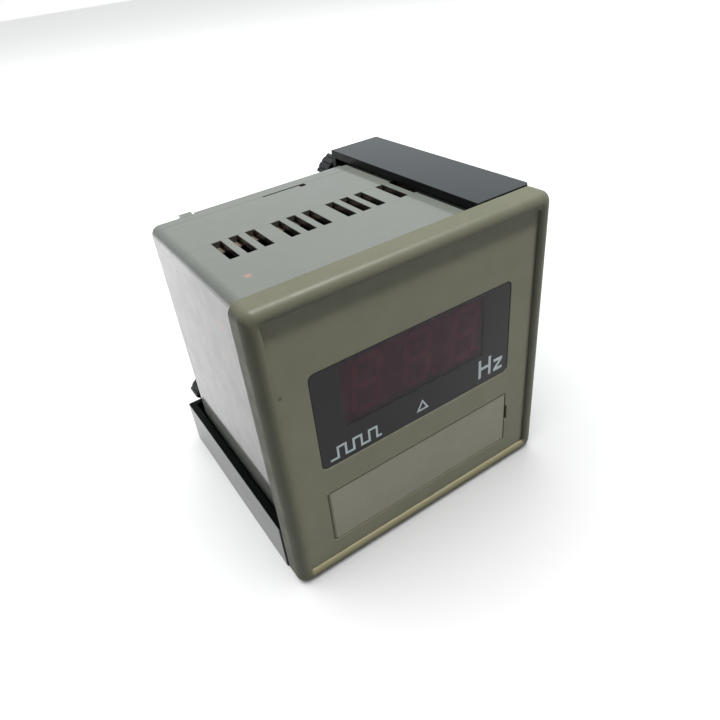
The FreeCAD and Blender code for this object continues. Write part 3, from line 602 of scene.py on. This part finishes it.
def door_material():
    """Matt plate a little paler than the panel, brown along the outline of its face."""
    surface = moulded("door_plastic", (0.184, 0.181, 0.140), (0.197, 0.192, 0.150), 0.55,
                      grain=0.22, gloss=0.3)
    blotch = surface.ramp(surface.noise(1.2, 4.0), 0.35, 0.65, 0.4, 1.0)
    face = surface.ramp(surface.depth, DOOR_DEPTH[0] + 0.35, DOOR_DEPTH[0] + 0.15)
    lay_dirt_and_painted_light(surface, surface.product(seam_of(surface, *DOOR_EDGE, 0.4), blotch, face),
          (0.13, 0.05, 0.028), 0.85)
    return close(surface)


SHELL_HALF, SHELL_CORNER = extent("front_shell")[0][1], 3.0
SHELL_SEAM = extent("front_shell")[1][1]
COVER_SEAM = extent("rear_shell")[1][1]
CASE_REAR = 73.5
# Reddish marks on the case: x, depth, height and radius.
RED_SPOTS = ((-45, 25.0, 32.5, 3.2), (-45, 21.0, 25.0, 2.2), (-36.0, 22.0, 45, 1.6))


def within_case(surface):
    """1 on what is deeper than the outer skin of the case, such as the walls of the vents, where
    shade is painted.
    """
    flat = SHELL_HALF - SHELL_CORNER
    across = surface.most(0.0, surface.math("SUBTRACT", surface.away(surface.x, 0.0), flat))
    up = surface.most(0.0, surface.math("SUBTRACT", surface.away(surface.height, 0.0), flat))
    reach = surface.math("SQRT", surface.math(
        "ADD", surface.product(across, across), surface.product(up, up)))
    inner = surface.ramp(reach, SHELL_CORNER - 0.12, SHELL_CORNER - 0.4)
    return surface.product(inner, surface.ramp(surface.depth, CASE_REAR - 1.2, CASE_REAR - 1.8))


def case_material():
    """Glossy moulded plastic, a little yellowed and stained, with a painted sheen in streaks on its
    left side and painted shade on its inside and on the walls of its vents.
    """
    surface = moulded("case_plastic", (0.094, 0.102, 0.090), (0.101, 0.107, 0.093), 0.45,
                      grain=0.5, grain_depth=0.008, mottle=20.0, gloss=0.2)
    # The left side is lightened in streaks: partly yellowing, partly a painted sheen.
    side = surface.ramp(surface.x, -44.0, -44.8)
    sheen_and_yellowing_streak = surface.ramp(surface.noise(7.0, 3.0, (1, 2.2, 0.35)), 0.5, 0.8)
    lay_dirt_and_painted_light(surface, surface.product(side, sheen_and_yellowing_streak), (0.20, 0.17, 0.13), 0.35)
    for spot in RED_SPOTS:
        lay_dirt_and_painted_light(surface, surface.spot(*spot), (0.42, 0.15, 0.13), 0.45)
    for depth, strength in ((SHELL_SEAM, 0.35), (COVER_SEAM, 0.8)):
        line = surface.ramp(surface.away(surface.depth, depth), 0.0, 0.28, 1.0, 0.0)
        top = surface.ramp(surface.height, 44.0, 44.8)
        lay_dirt_and_painted_light(surface, surface.product(line, top), (0.035, 0.035, 0.03), strength)
    # Painted shade: the walls of the vents and what lies deeper than the case's skin are darkened
    # almost to black.
    lay_dirt_and_painted_light(surface, within_case(surface), (0.040, 0.033, 0.026), 0.97)
    surface.set(Coat_Weight=1.0, Coat_Roughness=0.08, Coat_IOR=1.42)
    return close(surface)


def clamp_material():
    """Glossy blue-black moulding."""
    surface = moulded("clamp_plastic", (0.0050, 0.0075, 0.0095), (0.0065, 0.0095, 0.0115), 0.13,
                      grain=1.4, grain_depth=0.003, mottle=12.0, wear=0.03)
    return close(surface)


def clamp_edge_material():
    """The clamps' sawn edges and insides, duller and blacker than their faces."""
    surface = moulded("clamp_edge", (0.0035, 0.0038, 0.0042), (0.0050, 0.0052, 0.0056), 0.4,
                      grain=0.5, grain_depth=0.006, gloss=0.1)
    return close(surface)


def simple(name, colour, shade, roughness, **extra):
    return close(moulded(name, colour, shade, roughness, **extra))


def metal(name, colour, roughness):
    """A plated or turned metal with fine lines and dull patches."""
    surface = Surface(name)
    lines = surface.noise(0.4, 3.0, (1.0, 1.0, 6.0))
    dull = surface.ramp(surface.noise(3.0, 4.0), 0.4, 0.7)
    surface.colour = surface.mix(surface.product(dull, 0.6), colour,
                                 [0.62 * part for part in colour])
    surface.rough = surface.ramp(surface.math("ADD", lines, surface.product(dull, 0.5)), 0.3, 1.1,
                                 roughness - 0.08, roughness + 0.2)
    surface.set(Metallic=1.0)
    surface.bump(lines, 0.006)
    return close(surface)


def laminate():
    """A circuit board: green mask over copper tracks."""
    surface = Surface("board_laminate")
    weave = surface.node("ShaderNodeTexBrick", {"Vector": surface.place, "Scale": 0.4,
                                                "Mortar Size": 0.03})
    tracks = surface.ramp(surface.noise(2.6, 0.0, (1, 1, 0.3)), 0.49, 0.51)
    surface.colour = surface.mix(tracks, (0.012, 0.085, 0.035), (0.025, 0.14, 0.055))
    surface.colour = surface.mix(surface.product(weave.outputs["Fac"], 0.25), surface.colour,
                                 (0.01, 0.06, 0.03))
    surface.rough = surface.ramp(surface.noise(1.0), 0.3, 0.7, 0.28, 0.42)
    surface.bump(tracks, 0.03)
    return close(surface)


def laminations():
    """Thin steel sheets stacked front to back."""
    surface = Surface("core_steel")
    sheets = surface.math("FRACT", surface.math("MULTIPLY", surface.depth, 2.0))
    line = surface.ramp(surface.math("ABSOLUTE", surface.math("SUBTRACT", sheets, 0.5)), 0.4, 0.5)
    rust = surface.ramp(surface.noise(2.0, 4.0), 0.5, 0.75)
    surface.colour = surface.mix(rust, (0.20, 0.19, 0.18), (0.20, 0.10, 0.05))
    surface.colour = surface.mix(line, surface.colour, (0.03, 0.03, 0.03))
    surface.rough = surface.ramp(surface.noise(1.0), 0.3, 0.7, 0.4, 0.6)
    surface.set(Metallic=0.7)
    surface.bump(surface.math("SUBTRACT", 1.0, line), 0.05)
    return close(surface)


def filter_border_material():
    """Dark glossy print, with faint waves."""
    surface = moulded("filter_border", (0.0055, 0.0052, 0.0068), (0.0078, 0.0072, 0.0088), 0.17,
                      grain=1.6, grain_depth=0.004, mottle=9.0, wear=0.04, gloss=0.25)
    return close(surface)


def filter_pane_material():
    """Clear plastic, tinted dark red and a little hazy."""
    surface = Surface("filter_pane")
    haze = surface.ramp(surface.noise(5.0, 4.0), 0.35, 0.7)
    surface.colour = surface.mix(haze, (0.34, 0.115, 0.20), (0.42, 0.14, 0.24))
    surface.rough = surface.ramp(surface.noise(3.0, 3.0), 0.3, 0.7, 0.10, 0.16)
    surface.set(IOR=1.3, Transmission_Weight=1.0)
    surface.bump(surface.noise(1.6, 2.0), 0.003)
    return close(surface)


def glass_material():
    surface = Surface("fuse_glass")
    surface.colour = surface.mix(surface.noise(4.0), (0.80, 0.84, 0.84), (0.90, 0.92, 0.92))
    surface.rough = surface.ramp(surface.noise(2.0), 0.3, 0.7, 0.04, 0.12)
    surface.set(IOR=1.5, Transmission_Weight=0.85)
    return close(surface)


# ---- Build -----------------------------------------------------------------------------


def dull_edges(clamp, surface, side):
    """Gives all but the broad outer faces of a clamp, on one side, another surface."""
    clamp.data.materials.append(surface)
    for face in clamp.data.polygons:
        outward = side * (face.normal.x + face.normal.z)
        if outward < 0.9:
            face.material_index = 1


def at_seam(edge):
    """Whether an edge, in millimetres, lies where two parts of the case meet."""
    depth = (edge.verts[0].co.y + edge.verts[1].co.y) / 2 - FRONT / MM
    return min(abs(depth - SHELL_SEAM), abs(depth - COVER_SEAM)) < 0.3


def at_cover_rim(edge):
    """Whether an edge, in millimetres, is at a seam, or at the nib on the cover's top."""
    middle = (edge.verts[0].co + edge.verts[1].co) / 2
    raised = middle.z - MIDDLE / MM > SHELL_HALF - 2.5
    return at_seam(edge) or raised and middle.y - FRONT / MM > CASE_REAR - 2.0


def at_panel_outline(edge):
    """Whether an edge, in millimetres, lies on the panel's outer edge, against the bezel."""
    middle = (edge.verts[0].co + edge.verts[1].co) / 2
    reach = max(abs(middle.x), abs(middle.z - MIDDLE / MM))
    return reach > PANEL_HALF - 0.5


DOOR_X, DOOR_DEPTH, DOOR_Z = extent("access_door")
PIN_REACH = 1.2
DOOR_EDGE = (DOOR_X[0], DOOR_Z[0] + PIN_REACH, DOOR_X[1], DOOR_Z[1] - PIN_REACH)

BEZEL = bezel_material()
CASE = case_material()
CLAMP = clamp_material()
CLAMP_EDGE = clamp_edge_material()
KNOB = simple("knob_plastic", (0.016, 0.016, 0.018), (0.022, 0.022, 0.024), 0.45, grain=0.3,
              gloss=0.25)
ZINC = metal("zinc_steel", (0.62, 0.62, 0.59), 0.28)
BRASS = metal("brass", (0.70, 0.50, 0.22), 0.3)
WHITE_PRINT = simple("white_print", (0.31, 0.36, 0.38), (0.26, 0.31, 0.33), 0.4, grain=0.4,
                     grain_depth=0.006)

build_bezel(BEZEL)
softened("front_panel", "panel_moulding", panel_material(), 0.12, crisp=at_panel_outline)
build_filter(filter_border_material(), filter_pane_material())
build_digits(simple("digit_housing", (0.072, 0.047, 0.070), (0.110, 0.068, 0.098), 0.5,
                    grain=2.0, grain_depth=0.002, mottle=3.5),
             simple("digit_bars", (0.17, 0.05, 0.08), (0.21, 0.06, 0.09), 0.45,
                    grain=2.0, grain_depth=0.002))
build_marks(WHITE_PRINT)
softened("access_door", "door_cover", door_material(), 0.18)
softened("front_shell", "front_case_shell", CASE, 0.16, crisp=at_seam)
softened("rear_shell", "rear_case_shell", CASE, 0.16, crisp=at_seam)
softened("rear_cover", "rear_case_cover", CASE, 0.16, crisp=at_cover_rim)
dull_edges(softened("upper_clamp", "upper_corner_clamp", CLAMP, 0.3, 3), CLAMP_EDGE, 1)
dull_edges(softened("lower_clamp", "lower_corner_clamp", CLAMP, 0.3, 3), CLAMP_EDGE, -1)
softened("upper_wing_knob", "upper_knob_moulding", KNOB, 0.3, 3)
softened("lower_wing_knob", "lower_knob_moulding", KNOB, 0.3, 3)
build_stud("upper_clamp_stud", "upper_threaded_stud", ZINC)
build_stud("lower_clamp_stud", "lower_threaded_stud", ZINC)

BLACK_PARTS = simple("component_black", (0.020, 0.020, 0.021), (0.030, 0.030, 0.031), 0.5)
NODE_SURFACES = {
    "board_laminate": laminate(),
    "zinc_steel": ZINC,
    "brass": BRASS,
    "rotor_metal": BRASS,
    "trimmer_plastic": simple("trimmer_plastic", (0.02, 0.09, 0.30), (0.03, 0.12, 0.36), 0.35),
    "black_plastic": BLACK_PARTS,
    "core_steel": laminations(),
    "pressboard": simple("pressboard", (0.055, 0.038, 0.024), (0.075, 0.05, 0.03), 0.7,
                         grain=0.15, mottle=5.0),
    "winding_tape": simple("winding_tape", (0.62, 0.45, 0.10), (0.55, 0.38, 0.08), 0.3),
    "capacitor_sleeve": simple("capacitor_sleeve", (0.02, 0.04, 0.12), (0.03, 0.05, 0.15), 0.3),
    "crystal_can": metal("crystal_can", (0.66, 0.66, 0.64), 0.22),
    "heatsink_aluminium": metal("heatsink_aluminium", (0.09, 0.09, 0.10), 0.4),
    "fuse_glass": glass_material(),
    "terminal_plastic": simple("terminal_plastic", (0.030, 0.031, 0.030), (0.04, 0.04, 0.04),
                               0.42),
}
SOFT_NODES = {"terminal_block": 0.15, "terminal_screws": 0.12, "terminal_clamps": 0.05,
              "left_trimmer": 0.2, "right_trimmer": 0.2, "left_trimmer_rotor": 0.12,
              "right_trimmer_rotor": 0.12}
for node_name, width in SOFT_NODES.items():
    softened(node_name, node_name + "_detail", NODE_SURFACES[slot_of(node_name)], width)
for node_name, node_object in frame["nodes"].items():
    if not node_object.hide_render:
        node_object.data.materials.clear()
        node_object.data.materials.append(NODE_SURFACES[slot_of(node_name)])


# ---- Stage, light and camera -----------------------------------------------------------

# Light that the floor gives off everywhere and adds behind the object, and light of the sky.
GLOW_LEAST, GLOW_BEHIND = 0.05, 0.55
SKY_AHEAD, SKY_BEHIND = 0.05, 0.75
FLOOR_REACH = 3.0


def build_floor():
    """A pale floor that gives off some light, most behind the object, and is darker far ahead."""
    surface = Surface("pale_floor")
    ahead = surface.ramp(surface.depth, -100.0, -230.0)
    surface.colour = surface.mix(surface.noise(160.0), (0.375, 0.375, 0.375), (0.39, 0.39, 0.39))
    surface.colour = surface.mix(ahead, surface.colour, (0.18, 0.18, 0.18))
    surface.rough = surface.ramp(surface.noise(40.0), 0.3, 0.7, 0.8, 0.9)
    behind = surface.ramp(surface.depth, 60.0, 400.0, 0.0, GLOW_BEHIND)
    glow = surface.product(surface.math("ADD", behind, GLOW_LEAST),
                           surface.math("SUBTRACT", 1.0, ahead))
    surface.set(Emission_Color=(1, 1, 1, 1), Emission_Strength=glow, Specular_IOR_Level=0.1)
    shape = bmesh.new()
    reach = FLOOR_REACH
    corners = [(-reach, -reach), (reach, -reach), (reach, reach), (-reach, reach)]
    shape.faces.new([shape.verts.new((x, y, 0.0)) for x, y in corners])
    mesh = bpy.data.meshes.new("floor")
    shape.to_mesh(mesh)
    shape.free()
    mesh.materials.append(close(surface))
    floor = bpy.data.objects.new("floor", mesh)
    bpy.context.scene.collection.objects.link(floor)
    return floor


def add_softbox(name, place, size, power, floor, on_floor):
    """A square area light aimed at the object. It lights either the floor or all the rest."""
    light = bpy.data.lights.new(name, "AREA")
    light.shape = "SQUARE"
    light.size = size
    light.energy = power
    lamp = bpy.data.objects.new(name, light)
    bpy.context.scene.collection.objects.link(lamp)
    lamp.location = place
    lamp.visible_camera = False
    aim = LIGHT_TARGET - Vector(place)
    lamp.rotation_euler = aim.to_track_quat("-Z", "Y").to_euler()
    lit = bpy.data.collections.new(name + "_receivers")
    lit.objects.link(floor)
    lit.collection_objects[0].light_linking.link_state = "INCLUDE" if on_floor else "EXCLUDE"
    lamp.light_linking.receiver_collection = lit


def build_sky():
    """Soft light from all round, brighter behind the object than ahead, and a white backdrop."""
    world = bpy.data.worlds.new("studio")
    bpy.context.scene.world = world
    world.use_nodes = True
    tree = world.node_tree
    coords = tree.nodes.new("ShaderNodeTexCoord")
    split = tree.nodes.new("ShaderNodeSeparateXYZ")
    tree.links.new(coords.outputs["Generated"], split.inputs[0])
    behind = tree.nodes.new("ShaderNodeMapRange")
    behind.interpolation_type = "SMOOTHSTEP"
    for key, value in (("From Min", -0.5), ("From Max", 0.5), ("To Min", SKY_AHEAD),
                       ("To Max", SKY_BEHIND)):
        behind.inputs[key].default_value = value
    tree.links.new(split.outputs["Y"], behind.inputs["Value"])
    background = tree.nodes["Background"]
    background.inputs["Color"].default_value = (0.94, 0.99, 1, 1)
    tree.links.new(behind.outputs[0], background.inputs["Strength"])
    backdrop = tree.nodes.new("ShaderNodeBackground")
    backdrop.inputs["Color"].default_value = (1, 1, 1, 1)
    path = tree.nodes.new("ShaderNodeLightPath")
    seen = tree.nodes.new("ShaderNodeMixShader")
    tree.links.new(path.outputs["Is Camera Ray"], seen.inputs[0])
    tree.links.new(background.outputs[0], seen.inputs[1])
    tree.links.new(backdrop.outputs[0], seen.inputs[2])
    tree.links.new(seen.outputs[0], tree.nodes["World Output"].inputs["Surface"])


# The camera, from the object's straight edges in the photo. Lengths are in millimetres, and
# the shifts are shares of the picture's width.
AZIMUTH, ELEVATION, ROLL = math.radians(-28.358), math.radians(33.57), math.radians(-7.685)
DISTANCE, AIM_DEPTH, AIM_RIGHT, AIM_UP = 202.592, 40.0, -3.907, 1.231
FOCAL, SENSOR, SHIFT_X, SHIFT_Y = 30.282, 36.0, 0.0347, -0.0344


def place_camera():
    back = Vector((math.sin(AZIMUTH) * math.cos(ELEVATION),
                   -math.cos(AZIMUTH) * math.cos(ELEVATION), math.sin(ELEVATION)))
    level = (-back).cross(Vector((0, 0, 1))).normalized()
    upright = level.cross(-back)
    right = math.cos(ROLL) * level + math.sin(ROLL) * upright
    up = math.cos(ROLL) * upright - math.sin(ROLL) * level
    target = at(0, AIM_DEPTH, 0) + MM * (AIM_RIGHT * right + AIM_UP * up)
    data = bpy.data.cameras.new("camera")
    data.lens, data.sensor_width = FOCAL, SENSOR
    data.shift_x, data.shift_y = SHIFT_X, SHIFT_Y
    data.clip_start, data.clip_end = 0.005, 20.0
    camera = bpy.data.objects.new("camera", data)
    bpy.context.scene.collection.objects.link(camera)
    turn = Matrix((right, up, back)).transposed().to_4x4()
    camera.matrix_world = Matrix.Translation(target + MM * DISTANCE * back) @ turn
    bpy.context.scene.camera = camera


# Each light's name, place and size in metres, power in watts, and whether it is the floor's.
LIGHT_TARGET = Vector((0, 0, 0.05))
SOFTBOXES = (("overhead_softbox", (0.285, -0.198, 1.0), 0.09, 23.2, False),
             ("right_softbox", (0.32, -0.30, 0.12), 0.25, 0.12, False),
             ("floor_softbox", (-0.12, 0.02, 1.0), 1.4, 44.0, True))

FLOOR = build_floor()
build_sky()
for softbox, place, size, power, on_floor in SOFTBOXES:
    add_softbox(softbox, place, size, power, FLOOR, on_floor)
place_camera()
bpy.context.scene.view_settings.view_transform = "Standard"
